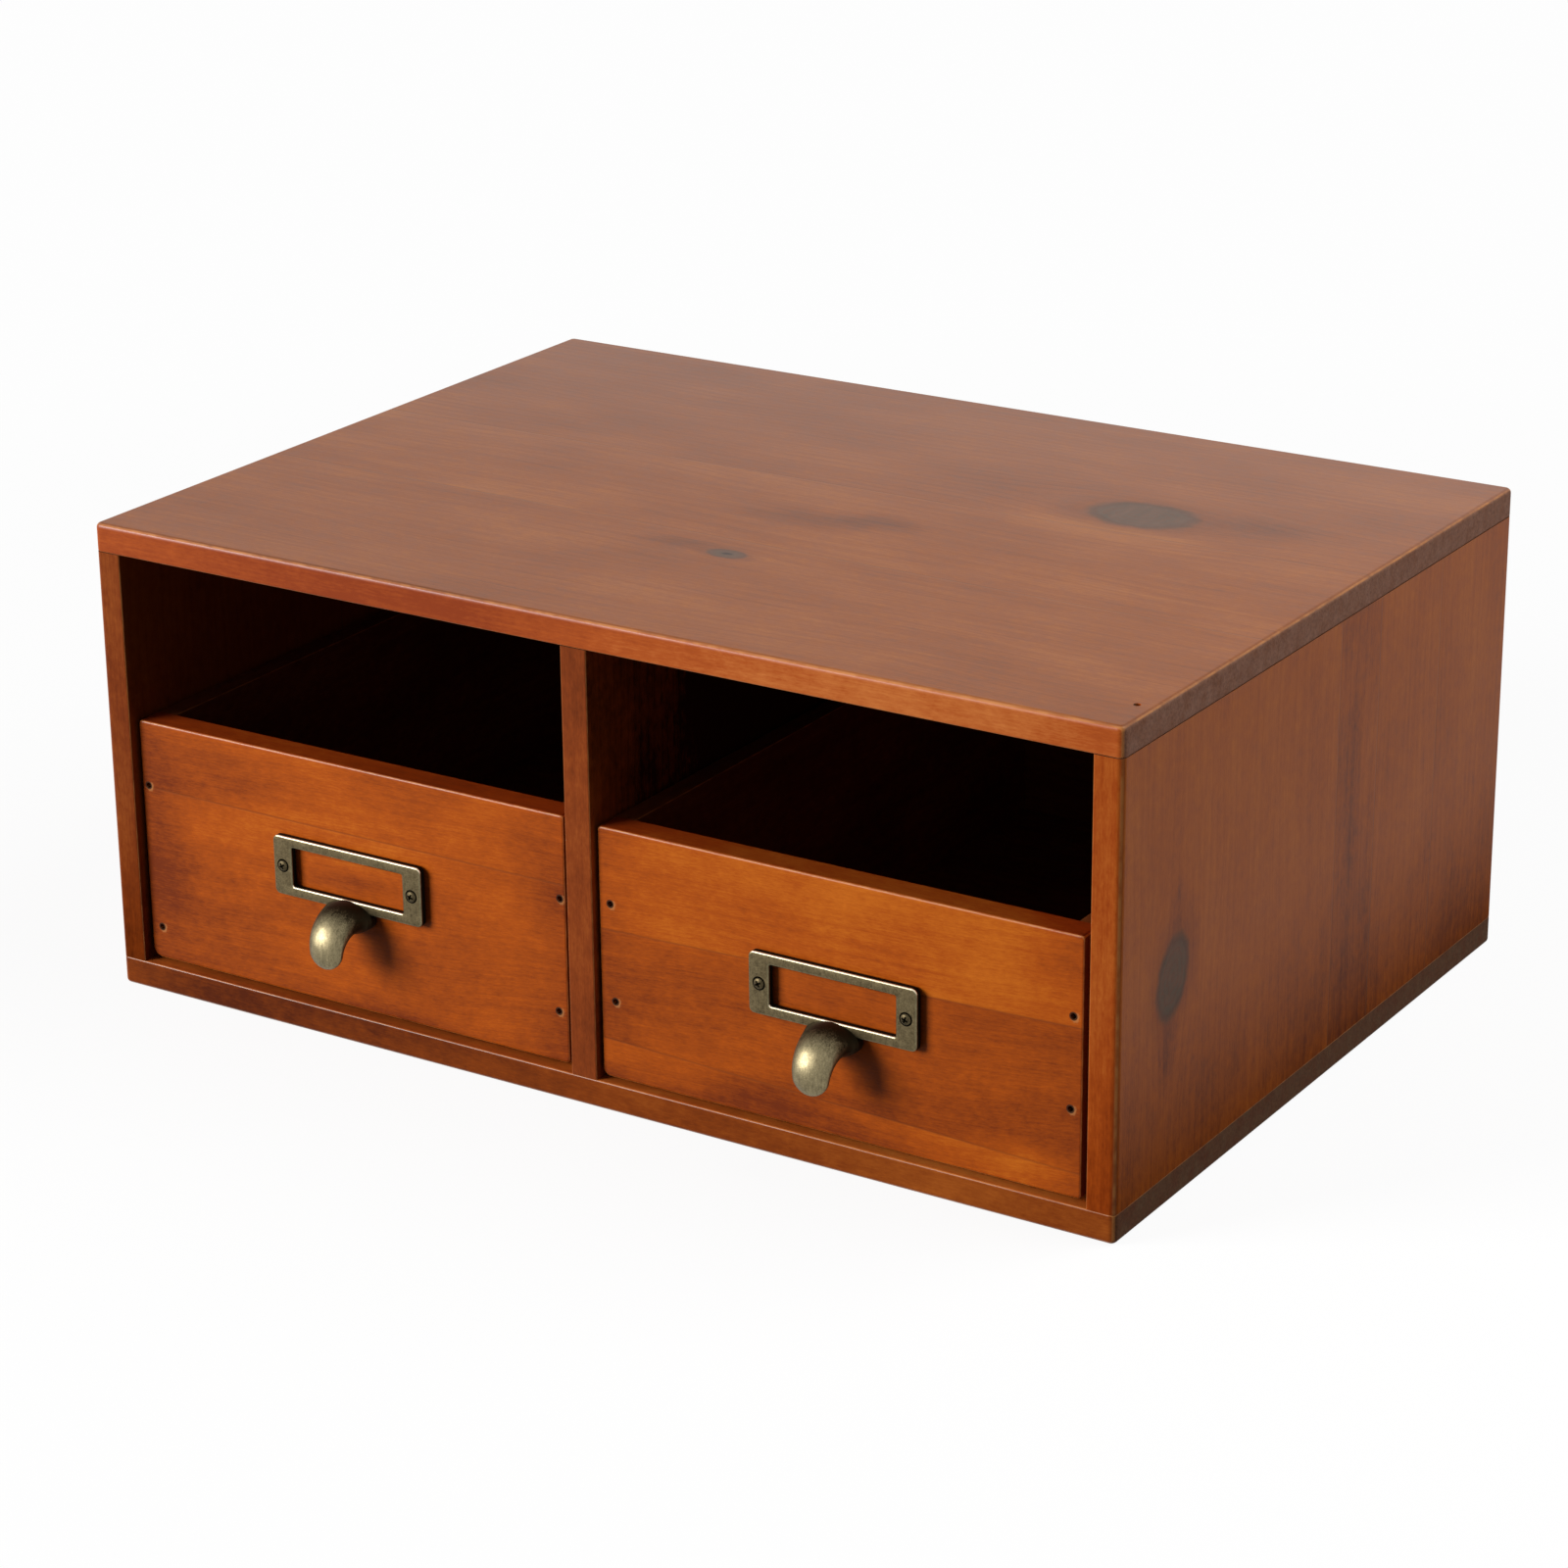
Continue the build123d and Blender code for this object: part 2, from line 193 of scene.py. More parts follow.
studio()
paper_floor()
lamp("key_softbox", direction=(-0.62, -0.73, 0.28), distance=2.5, size=1.2, watts=78.0)
lamp("overhead_softbox", direction=(0.60, 0.25, 0.76), distance=1.2, size=0.9, watts=10.5)
camera()
scene.view_settings.view_transform = "Standard"


# Stained pine and plywood
#
# Softwood boards under a red-brown stain and a satin lacquer. The eye gets fine streaks along the grain,
# growth rings, clouds where the stain soaked in, joints between glued strips, and dark knots. Some boards
# also
# carry painted shade and light: shade inside the case and the drawers and towards the side boards' foot, a
# paler case floor, a sheen greying the back of the top, and highlights on rounded edges. Wood fibres are
# some 0.03 mm wide, too fine to show, so they are drawn coarser, 0.45 mm wide. A stain has a deep, a mid
# and a pale shade for the tone of the wood, one shade for knots and one for end grain.

CASE_STAIN = {"deep": "6A3818", "mid": "904E1E", "pale": "B06C32", "knot": "564638", "end": "8C6654"}
SIDE_STAIN = {"deep": "5E2A12", "mid": "984C18", "pale": "B26424", "knot": "4E3C2B", "end": "6E4A36"}
DIVIDER_STAIN_AND_SHADE = {"deep": "34160A", "mid": "A05220", "pale": "BC6C2A", "knot": "4E3C2B", "end": "6E4A36"}
FRONT_STAIN = {"deep": "6E2A06", "mid": "AC4E0C", "pale": "D0721C", "knot": "3E2410", "end": "6E3A1C"}
BACK_STAIN = {"deep": "6E3A1C", "mid": "9E6030", "pale": "BC8048", "knot": "4E3A28", "end": "6A4A34"}
DRAWER_STAIN_AND_SHADE = {"deep": "46200E", "mid": "6A3618", "pale": "885028", "knot": "3E2A1E", "end": "4A2C1A"}
EDGE_STAIN = {"deep": "52200A", "mid": "803A10", "pale": "A2541C", "knot": "5A3418", "end": "604630"}
TOP_FRONT = {"deep": "883408", "mid": "AA4E16", "pale": "C87436"}
LEFT_FRONT = {"deep": "4C1C06", "mid": "72300C", "pale": "944C1C"}
DIVIDER_FRONT = {"deep": "58240C", "mid": "843C16", "pale": "A65824"}
RIGHT_FRONT = {"deep": "6A260A", "mid": "9C4412", "pale": "BC6626"}
SHADED_LEFT_INSIDE = {"deep": "441A0A", "mid": "803E14", "pale": "92501E"}
LIT_CASE_FLOOR = {"deep": "823C16", "mid": "A8541E", "pale": "C47430"}
SHADED_DRAWER_TOP = {"deep": "62220A", "mid": "94380C", "pale": "B4601E"}
RAW_WOOD = "BE8450"
HOLE_SHADE = "1E1008"
WORN_EDGE_AND_HIGHLIGHT = "D08A4C"
# Grey of the painted sheen that pales the top board towards its back
SHEEN_GREY = "908884"

# Patterns of the wood: length along the grain and width across it in mm
STREAK = (38.0, 0.8)
FIBRE = (2.6, 0.45)
MOTTLE = (4.6, 3.4)
STAIN_CLOUD = (52.0, 26.0)
RING_WAVE = (55.0, 14.0)
WANDER = (150.0, 70.0)
FIBRE_RELIEF = (2.6, 0.7)
STREAK_RELIEF = (38.0, 0.9)

# Growth rings: their spacing in mm, how many rings they wave by, and where the pith lies in mm
RING_SPACING = 3.4
RING_WAVER = 1.6
PITH_ACROSS = 18.0
PITH_UNDER = -46.0

# Other sizes in mm
WANDER_WIDTH = 14.0
JOINT_SOFT = 0.15
JOINT_CORE = 0.1
JOINT_HALF = 0.45
CORE_INNER = 0.4
CORE_OUTER = 1.5
CHIP_LEAN = 0.55
CHIP_INNER = 1.9
CHIP_OUTER = 2.5
HOLE_INNER = 1.15
HOLE_OUTER = 1.4
SOAK_ENDS = 26.0
SOAK_FOOT = 8.0
SHEEN_START = -20.0
END_PATCH = 6.25
END_PORE = 0.76923
WEAR_PATCH = 4.54545

# From strip to strip the pattern jumps this many mm across the grain, and this many times as far along it
STRIP_JUMP = 61.0
STRIP_SLIDE = 3.1

# Knots: how far the grain flows round one, in its half sizes, and how strongly each part of it shows
KNOT_REACH_LENGTH = 2.6
KNOT_REACH_WIDTH = 1.7
KNOT_HOLD = 0.8
KNOT_RAGGED = 0.40
KNOT_SOFT = 0.2
KNOT_HALO = 0.4
KNOT_HEART = 0.82
KNOT_MOTTLE = 0.9
KNOT_RIM = 0.22
RINGS_SHADE = 0.34
RINGS_PER_MM = 0.42
RINGS_WAVER = 1.2

# How strongly other marks show, and how ragged they are
FIBRE_SHARE = 0.60
FIBRE_LOW = 0.33
FIBRE_HIGH = 0.67
CLOUD_RAGGED = 0.8
JOINT_SHADE = 0.28
TORN_SHADE = 0.5
TORN_RAGGED = 1.6
MOUTH_SHADE = 0.9

# Roughness of satin and matt lacquer, how far mottle and end grain move it, and hand-polished edges
SATIN = 0.36
MATT = 0.50
SMOOTHER = 0.05
ROUGHER = 0.09
END_ROUGHER = 0.3
EDGE_GLOSS = 0.30
EDGE_SHINE = 0.45

# Relief of the wood in tenths of a millimetre, and the strength of every bump
FIBRE_HEIGHT = 0.3
STREAK_HEIGHT = 0.4
JOINT_DEPTH = 0.8
BUMP_STRENGTH = 0.3

# Directions that faces look in
FRONT = (0, -1, 0)
RIGHT = (1, 0, 0)
UP = (0, 0, 1)

# Marks on a board, placed in mm along and across its grain from its middle
Joint = namedtuple("Joint", "across slope tone")
Cloud = namedtuple("Cloud", "along across half_length half_width tone")
Knot = namedtuple("Knot", "along across half_length half_width darkness slope core",
                  defaults=(1.0, 0.0, 0.0))
Fade = namedtuple("Fade", "start end tone")


def shades(stain):
    """Colours of a stain from its deepest tone to its palest."""
    return [(0.0, colour(stain["deep"])), (0.5, colour(stain["mid"])), (1.0, colour(stain["pale"]))]


class Board:
    """The nodes of one board's material.

    grain names the axes along, across and through the grain. bent_along and bent are the places along and
    across it once the grain has leant, wandered, jumped at joints and flowed round knots."""

    def __init__(self, part, name, grain, seed):
        self.material, tree = new_material(name)
        self.add = partial(node, tree)
        self.seed = seed
        low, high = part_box(part)
        middle = (low + high) / 2
        half = (high - low) / 2 / MM
        axes = ["XYZ".index(letter) for letter in grain]
        self.half_length, self.half_width = half[axes[0]], half[axes[1]]
        self.placed = self.add("Mapping", self.add("TexCoord", out="Object"), -middle / MM, (0, 0, 0),
                               PER_MM)
        split = self.add("SeparateXYZ", self.placed).node
        self.along, self.across, self.through = [split.outputs[i] for i in axes]
        self.bent_along, self.bent = self.along, self.across
        self.facing = self.add("TexCoord", out="Normal")
        axis = [1.0 if i == axes[0] else 0.0 for i in range(3)]
        lengthwise = self.add("VectorMath", self.facing, axis, operation="DOT_PRODUCT")
        self.lengthwise = self.add("Math", lengthwise, operation="ABSOLUTE")

    def grains(self, size, detail=3.0, shift=0.0, rough=0.55):
        """Noise drawn out along the bent grain; size is its length and width in mm."""
        length, width = size
        spot = self.add("CombineXYZ", self.add("Math", self.bent_along, 1 / length, operation="MULTIPLY"),
                        self.add("Math", self.bent, 1 / width, operation="MULTIPLY"),
                        self.add("Math", self.through, 1 / width, shift + self.seed,
                                 operation="MULTIPLY_ADD"))
        return self.add("TexNoise", spot, 1.0, detail, rough)

    def away_from(self, at_along, at_across, half_length, half_width, slope=0.0):
        """Place and distance from a mark on the board, in the mark's own half sizes."""
        aside = self.add("Math", self.along, -slope, self.across, operation="MULTIPLY_ADD")
        spot = self.add("CombineXYZ",
                        self.add("Math", self.along, 1 / half_length, -at_along / half_length,
                                 operation="MULTIPLY_ADD"),
                        self.add("Math", aside, 1 / half_width, (slope * at_along - at_across) / half_width,
                                 operation="MULTIPLY_ADD"), 0.0)
        return spot, self.add("VectorMath", spot, operation="LENGTH")

    def bend_grain(self, lean):
        """Lets the grain lean to one side and wander slowly."""
        wander = self.add("Math", self.grains(WANDER, 1.0, 31.0), WANDER_WIDTH, -WANDER_WIDTH / 2,
                          operation="MULTIPLY_ADD")
        self.bent = self.add("Math", self.along, lean, self.bent, operation="MULTIPLY_ADD")
        self.bent = self.add("Math", self.bent, wander, operation="ADD")

    def glue_strips(self, joints):
        """The grain jumps at each joint of two strips; gives the strips' tone and the glue lines."""
        tone = glue_lines = 0.0
        for joint in joints:
            edge = self.add("Math", self.along, joint.slope, self.across, operation="MULTIPLY_ADD")
            past = self.add("MapRange", edge, joint.across - JOINT_SOFT, joint.across + JOINT_SOFT,
                            **SMOOTH)
            jump = self.add("Math", past, STRIP_JUMP + 7 * joint.across % 13, operation="MULTIPLY")
            self.bent = self.add("Math", self.bent, jump, operation="ADD")
            self.bent_along = self.add("Math", jump, STRIP_SLIDE, self.bent_along, operation="MULTIPLY_ADD")
            tone = self.add("Math", past, joint.tone, tone, operation="MULTIPLY_ADD")
            gap = self.add("Math", self.add("Math", edge, joint.across, operation="SUBTRACT"),
                           operation="ABSOLUTE")
            line = self.add("MapRange", gap, JOINT_CORE, JOINT_HALF, 1.0, 0.0, **SMOOTH)
            glue_lines = self.add("Math", glue_lines, line, operation="MAXIMUM")
        return tone, glue_lines

    def flow_round(self, knot):
        """The grain flows round a knot; gives the distance from it, which is 1 at its ragged edge."""
        reach = self.away_from(knot.along, knot.across, knot.half_length * KNOT_REACH_LENGTH,
                               knot.half_width * KNOT_REACH_WIDTH)[1]
        hold = self.add("MapRange", reach, 0.0, 1.5, KNOT_HOLD, 0.0, **SMOOTH)
        off = self.add("Math", self.across, knot.across, operation="SUBTRACT")
        pushed = self.add("Math", off, hold, operation="MULTIPLY")
        self.bent = self.add("Math", self.bent, pushed, operation="SUBTRACT")
        spot, radius = self.away_from(*knot[:4], knot.slope)
        ragged = self.add("TexNoise", spot, 1.9, 4.0, 0.65)
        radius = self.add("Math", ragged, KNOT_RAGGED, radius, operation="MULTIPLY_ADD")
        return self.add("Math", radius, KNOT_RAGGED / 2, operation="SUBTRACT")

    def late_wood(self):
        """Dark outer part of each growth ring, round a pith that lies under the board."""
        spot = self.add("CombineXYZ", self.add("Math", self.bent, PITH_ACROSS, operation="SUBTRACT"),
                        self.add("Math", self.through, PITH_UNDER, operation="SUBTRACT"), 0.0)
        wave = self.add("Math", self.grains(RING_WAVE, 2.0, 7.0), RING_WAVER, operation="MULTIPLY")
        ring = self.add("Math", self.add("VectorMath", spot, operation="LENGTH"), 1 / RING_SPACING, wave,
                        operation="MULTIPLY_ADD")
        phase = self.add("Math", ring, operation="FRACT")
        return self.add("Math", self.add("MapRange", phase, 0.35, 0.9, **SMOOTH),
                        self.add("MapRange", phase, 0.93, 1.0, 1.0, 0.0, **SMOOTH), operation="MULTIPLY")

    def mix_tone(self, streaks, mottled, cloudy, figure, shift):
        """Tone of the stain, 0 where it is deep and 1 where it is pale, from the share of each pattern."""
        fibre = self.add("MapRange", self.grains(FIBRE, 3.0, 3.0, 0.7), FIBRE_LOW, FIBRE_HIGH,
                         FIBRE_LOW, FIBRE_HIGH)
        self.mottle = self.grains(MOTTLE, 3.0, 17.0, 0.65)
        patterns = [(self.grains(STREAK, rough=0.6), streaks), (fibre, FIBRE_SHARE), (self.mottle, mottled),
                    (self.grains(STAIN_CLOUD, shift=11.0), cloudy)]
        tone = 0.5 - sum(share for _, share in patterns) / 2 + shift
        for pattern, share in patterns + [(self.late_wood(), figure)]:
            tone = self.add("Math", pattern, share, tone, operation="MULTIPLY_ADD")
        return tone

    def tone_clouds(self, tone, clouds):
        """Clouds where the stain soaked in deeper or stayed pale, and some clouds of painted shade."""
        for cloud in clouds:
            spot, far = self.away_from(*cloud[:4])
            far = self.add("Math", self.add("TexNoise", spot, 1.3, 3.0), CLOUD_RAGGED, far,
                           operation="MULTIPLY_ADD")
            soaked = self.add("MapRange", far, 0.5, 1.6, cloud.tone, 0.0, **SMOOTH)
            tone = self.add("Math", tone, soaked, operation="ADD")
        return tone

    def soak_edges(self, tone, depth):
        """Deeper stain near both ends of the board, and a little darker along its foot."""
        end = self.add("Math", self.along, operation="ABSOLUTE")
        end = self.add("MapRange", end, self.half_length - SOAK_ENDS, self.half_length,
                       0.0, -depth, **SMOOTH)
        foot = self.add("MapRange", self.across, SOAK_FOOT - self.half_width, -self.half_width,
                        0.0, -depth * 0.7, **SMOOTH)
        return self.add("Math", self.add("Math", tone, end, operation="ADD"), foot, operation="ADD")

    def stain_sides(self, tint, tone, sides):
        """Faces, named by their direction, that took a stain of their own."""
        for direction, stain in sides:
            turned = self.add("VectorMath", self.facing, direction, operation="DOT_PRODUCT")
            turned = self.add("MapRange", turned, 0.55, 0.85, **SMOOTH)
            own = self.add("ValToRGB", tone, stops=shades(stain))
            tint = self.add("Mix", turned, tint, own, **COLOURS)
        return tint

    def draw_knot(self, tint, knot, radius, stain):
        """A halo, a mottled heart with ring lines, a dark rim and, in some knots, a dark core."""
        halo = self.add("MapRange", radius, 0.9, 2.0, KNOT_HALO * knot.darkness, 0.0, **SMOOTH)
        tint = self.add("Mix", halo, tint, colour(stain["deep"]), **COLOURS)
        inside = self.add("MapRange", radius, 1.0 - KNOT_SOFT, 1.0 + KNOT_SOFT, 1.0, 0.0, **SMOOTH)
        heart = self.add("Math", self.add("Math", self.mottle, 0.5, operation="SUBTRACT"), KNOT_MOTTLE,
                         KNOT_HEART * knot.darkness, operation="MULTIPLY_ADD")
        heart = self.add("Math", inside, heart, operation="MULTIPLY")
        tint = self.add("Mix", heart, tint, colour(stain["knot"]), **COLOURS)
        wave = self.add("Math", self.mottle, RINGS_WAVER, operation="MULTIPLY")
        rings = self.add("Math", radius, RINGS_PER_MM * knot.half_width, wave, operation="MULTIPLY_ADD")
        rings = self.add("MapRange", self.add("Math", rings, operation="FRACT"), 0.45, 0.95,
                         0.0, RINGS_SHADE * knot.darkness, **SMOOTH)
        rings = self.add("Math", rings, inside, operation="MULTIPLY")
        tint = self.add("Mix", rings, tint, colour(stain["deep"]), **COLOURS)
        rim = self.add("Math", self.add("Math", radius, 0.93, operation="SUBTRACT"), operation="ABSOLUTE")
        rim = self.add("MapRange", rim, 0.0, 0.2, KNOT_RIM * knot.darkness, 0.0, **SMOOTH)
        tint = self.add("Mix", rim, tint, colour(HOLE_SHADE), **COLOURS)
        core = self.add("MapRange", radius, CORE_INNER / knot.half_width, CORE_OUTER / knot.half_width,
                        knot.core, 0.0, **SMOOTH)
        return self.add("Mix", core, tint, colour(HOLE_SHADE), **COLOURS)

    def chip_holes(self, tint, holes):
        """Raw wood torn up beside each nail hole, and a dark mouth of painted shade."""
        for along, across in holes:
            spot, far = self.away_from(along + CHIP_LEAN, across - CHIP_LEAN / 2, 1.0, 1.0)
            far = self.add("Math", self.add("TexNoise", spot, 1.1, 3.0), TORN_RAGGED, far,
                           operation="MULTIPLY_ADD")
            torn = self.add("MapRange", far, CHIP_INNER, CHIP_OUTER, TORN_SHADE, 0.0, **SMOOTH)
            tint = self.add("Mix", torn, tint, colour(RAW_WOOD), **COLOURS)
            far = self.away_from(along, across, 1.0, 1.0)[1]
            mouth = self.add("MapRange", far, HOLE_INNER, HOLE_OUTER, MOUTH_SHADE, 0.0, **SMOOTH)
            tint = self.add("Mix", mouth, tint, colour(HOLE_SHADE), **COLOURS)
        return tint

    def soak_end_grain(self, tint, stain):
        """End grain drinks more stain, in patches with dark pores; also gives where it is."""
        ends = self.add("MapRange", self.lengthwise, 0.55, 0.9, **SMOOTH)
        patch = self.add("TexNoise", self.placed, 1 / END_PATCH, 5.0, 0.7)
        patch = self.add("MapRange", patch, 0.3, 0.7, 0.25, 1.0)
        soaked = self.add("Mix", patch, colour(stain["deep"]), colour(stain["end"]), **COLOURS)
        pore = self.add("TexNoise", self.placed, 1 / END_PORE, 3.0, 0.7)
        pore = self.add("MapRange", pore, 0.35, 0.6, 0.4, 0.0)
        soaked = self.add("Mix", pore, soaked, colour(HOLE_SHADE), **COLOURS)
        return self.add("Mix", ends, tint, soaked, **COLOURS), ends

    def rub_and_highlight_edges(self, tint, rub_and_highlight):
        """Stain rubbed off the rounded edges, in patches, with a painted highlight along them; also gives
        where hands polished them.
        """
        level = self.add("SeparateXYZ", self.add("VectorMath", self.facing, operation="ABSOLUTE")).node
        flat = self.add("Math", level.outputs[0], level.outputs[1], operation="MAXIMUM")
        flat = self.add("Math", flat, level.outputs[2], operation="MAXIMUM")
        patchy = self.add("TexNoise", self.placed, 1 / WEAR_PATCH, 3.0)
        patchy = self.add("MapRange", patchy, 0.38, 0.60, rub_and_highlight * 0.35, rub_and_highlight)
        # A narrow band on the rounded edges, partly wear and partly a painted highlight line
        worn_and_highlit = self.add("MapRange", flat, 0.90, 0.78, **SMOOTH)
        worn_and_highlit = self.add("Math", worn_and_highlit, patchy, operation="MULTIPLY")
        polished = self.add("MapRange", flat, 0.96, 0.86, **SMOOTH)
        polished = self.add("Math", polished, self.add("MapRange", self.lengthwise, 0.05, 0.45, 1.0, 0.15),
                            operation="MULTIPLY")
        return self.add("Mix", worn_and_highlit, tint, colour(WORN_EDGE_AND_HIGHLIGHT), **COLOURS), polished

    def lacquer(self, tint, glue_lines, ends, polished, gloss, shine, ior):
        """Lacquer that follows the grain's relief: duller on end grain, glossier on polished edges."""
        height = self.add("Math", self.grains(FIBRE_RELIEF, 1.0, 3.0), FIBRE_HEIGHT, operation="MULTIPLY")
        height = self.add("Math", self.grains(STREAK_RELIEF, 1.0), STREAK_HEIGHT, height,
                          operation="MULTIPLY_ADD")
        height = self.add("Math", glue_lines, -JOINT_DEPTH, height, operation="MULTIPLY_ADD")
        bump = self.add("Bump", Strength=BUMP_STRENGTH, Distance=0.1 * MM, Height=height)
        rough = self.add("MapRange", self.mottle, 0.0, 1.0, gloss - SMOOTHER, gloss + ROUGHER)
        rough = self.add("Math", ends, END_ROUGHER, rough, operation="MULTIPLY_ADD")
        rough = self.add("Mix", polished, rough, EDGE_GLOSS)
        level = self.add("Mix", polished, shine, EDGE_SHINE)
        skin = self.add("BsdfPrincipled", Base_Color=tint, Roughness=rough, IOR=ior,
                        Specular_IOR_Level=level, Normal=bump)
        self.add("OutputMaterial", skin)


def dress(part, material):
    """Gives a CAD part its material."""
    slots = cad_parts[part].data.materials
    for i in range(len(slots)):
        slots[i] = material


def stain_board(part, name, grain, stain, seed, joints=(), knots=(), clouds=(), holes=(), sides=(),
                foot_shade=None, lean=0.0, streaks=0.26, mottled=0.55, cloudy=1.0, figure=-0.07, shift=0.0,
                edge_soak=0.0, painted_sheen=0.0, rub_and_highlight=0.6, gloss=SATIN, shine=0.11, ior=1.5):
    """Stains and lacquers one board.

    streaks, mottled, cloudy and figure say how much each pattern counts, and shift makes the board paler.
    foot_shade paints shade along the grain towards the foot, where the lacquer also goes dull."""
    board = Board(part, name, grain, seed)
    add = board.add
    board.bend_grain(lean)
    strip_tone, glue_lines = board.glue_strips(joints)
    radii = [board.flow_round(knot) for knot in knots]
    tone = board.mix_tone(streaks, mottled, cloudy, figure, shift)
    tone = add("Math", tone, strip_tone, operation="ADD")
    tone = board.tone_clouds(tone, clouds)
    # Painted shade towards the foot, where the lacquer also goes dull
    if foot_shade:
        foot = add("MapRange", board.along, foot_shade.start, foot_shade.end, **SMOOTH)
        tone = add("Math", foot, foot_shade.tone, tone, operation="MULTIPLY_ADD")
        shine = add("MapRange", foot, 0.0, 1.0, shine, 0.0)
    if edge_soak:
        tone = board.soak_edges(tone, edge_soak)
    tint = add("ValToRGB", tone, stops=shades(stain))
    tint = board.stain_sides(tint, tone, sides)
    # Painted sheen: pale grey mixed in more and more towards the back of the board
    if painted_sheen:
        sheen_share = add("MapRange", board.across, SHEEN_START, board.half_width, 0.0, painted_sheen)
        tint = add("Mix", sheen_share, tint, colour(SHEEN_GREY), **COLOURS)
    glue = add("Math", glue_lines, JOINT_SHADE, operation="MULTIPLY")
    tint = add("Mix", glue, tint, colour(stain["knot"]), **COLOURS)
    for knot, radius in zip(knots, radii):
        tint = board.draw_knot(tint, knot, radius, stain)
    tint = board.chip_holes(tint, holes)
    tint, ends = board.soak_end_grain(tint, stain)
    tint, polished = board.rub_and_highlight_edges(tint, rub_and_highlight)
    board.lacquer(tint, glue_lines, ends, polished, gloss, shine, ior)
    dress(part, board.material)


SIDE_LOOK = {"foot_shade": Fade(0.0, -75.0, -0.30), "streaks": 0.46, "cloudy": 0.6, "shift": 0.12,
             "shine": 0.3, "ior": 1.2}

# The top board is streaked, greyed towards the back by a painted sheen, with a large knot, a small one and
# dark clouds of stain
stain_board(
    "top_board", "stained_pine_top", "XYZ", CASE_STAIN, seed=2.0,
    joints=(Joint(-41.0, 0.012, 0.03), Joint(22.0, -0.01, -0.05)),
    knots=(Knot(91.9, 41.6, 17.0, 11.5), Knot(5.3, -53.6, 6.4, 3.6, darkness=0.95, core=0.8)),
    clouds=(Cloud(6.0, -13.0, 26.0, 11.0, -0.42), Cloud(28.0, -5.0, 17.0, 9.0, -0.38),
            Cloud(-12.0, -51.0, 17.0, 7.0, -0.3), Cloud(28.0, 47.0, 36.0, 18.0, -0.1),
            Cloud(127.0, 46.0, 20.0, 14.0, -0.25), Cloud(88.0, 22.0, 48.0, 9.0, 0.26),
            Cloud(-95.0, -125.0, 110.0, 2.0, -0.45), Cloud(110.0, -125.0, 80.0, 2.0, 0.3)),
    sides=((FRONT, TOP_FRONT),), streaks=0.54, mottled=0.42, cloudy=0.6, painted_sheen=0.15, shine=0.14)
# The bottom board shows its front edge, and its upper face where a drawer stands open; that upper face
# takes a paler stain as painted light
stain_board(
    "bottom_board", "stained_pine_bottom", "XYZ", EDGE_STAIN, seed=9.0,
    joints=(Joint(-30.0, 0.0, 0.04), Joint(44.0, 0.0, -0.05)),
    clouds=(Cloud(-120.0, -125.0, 90.0, 20.0, -0.3), Cloud(120.0, -125.0, 60.0, 20.0, 0.3)),
    sides=((UP, LIT_CASE_FLOOR),), shine=0.05)
# The side boards shine most at the top; towards the foot they turn dull and take painted shade. Their low
# IOR keeps the white surroundings from paling them where they are seen at a slant.
stain_board(
    "left_side_board", "stained_pine_left", "ZYX", SIDE_STAIN, seed=14.0,
    joints=(Joint(-20.0, 0.0, 0.05), Joint(50.0, 0.0, -0.05)),
    # Its inner face takes a darker stain as painted shade inside the case
    sides=((FRONT, LEFT_FRONT), (RIGHT, SHADED_LEFT_INSIDE)), **SIDE_LOOK)
stain_board(
    "right_side_board", "stained_pine_right", "ZYX", SIDE_STAIN, seed=21.0,
    joints=(Joint(6.5, 0.0, -0.18), Joint(33.0, 0.0, 0.14), Joint(75.0, 0.0, -0.05)),
    knots=(Knot(-6.8, -94.1, 11.8, 8.6, darkness=1.05, slope=0.16),),
    clouds=(Cloud(-27.0, -97.0, 14.0, 4.5, -0.28), Cloud(13.0, -92.0, 12.0, 4.5, -0.22),
            Cloud(-5.0, 17.0, 60.0, 7.0, -0.2), Cloud(30.0, -10.0, 60.0, 12.0, -0.12),
            Cloud(40.0, 95.0, 40.0, 20.0, 0.1)),
    sides=((FRONT, RIGHT_FRONT),), **SIDE_LOOK)
# The divider and the back panel stand in the shade, which the divider's stain paints in; the panel is thin
# plywood under a matt coat
stain_board(
    "centre_divider", "stained_pine_divider", "ZYX", DIVIDER_STAIN_AND_SHADE, seed=27.0,
    # Painted shade: two wide clouds darken the divider's faces behind their front edge, down to a
    # near-black deep shade
    clouds=(Cloud(0.0, -42.0, 900.0, 75.0, -0.7), Cloud(0.0, 60.0, 900.0, 110.0, -0.7)),
    sides=((FRONT, DIVIDER_FRONT),), shine=0.3, ior=1.2)
stain_board("back_panel", "stained_plywood_back", "XZY", BACK_STAIN, seed=33.0, gloss=MATT)

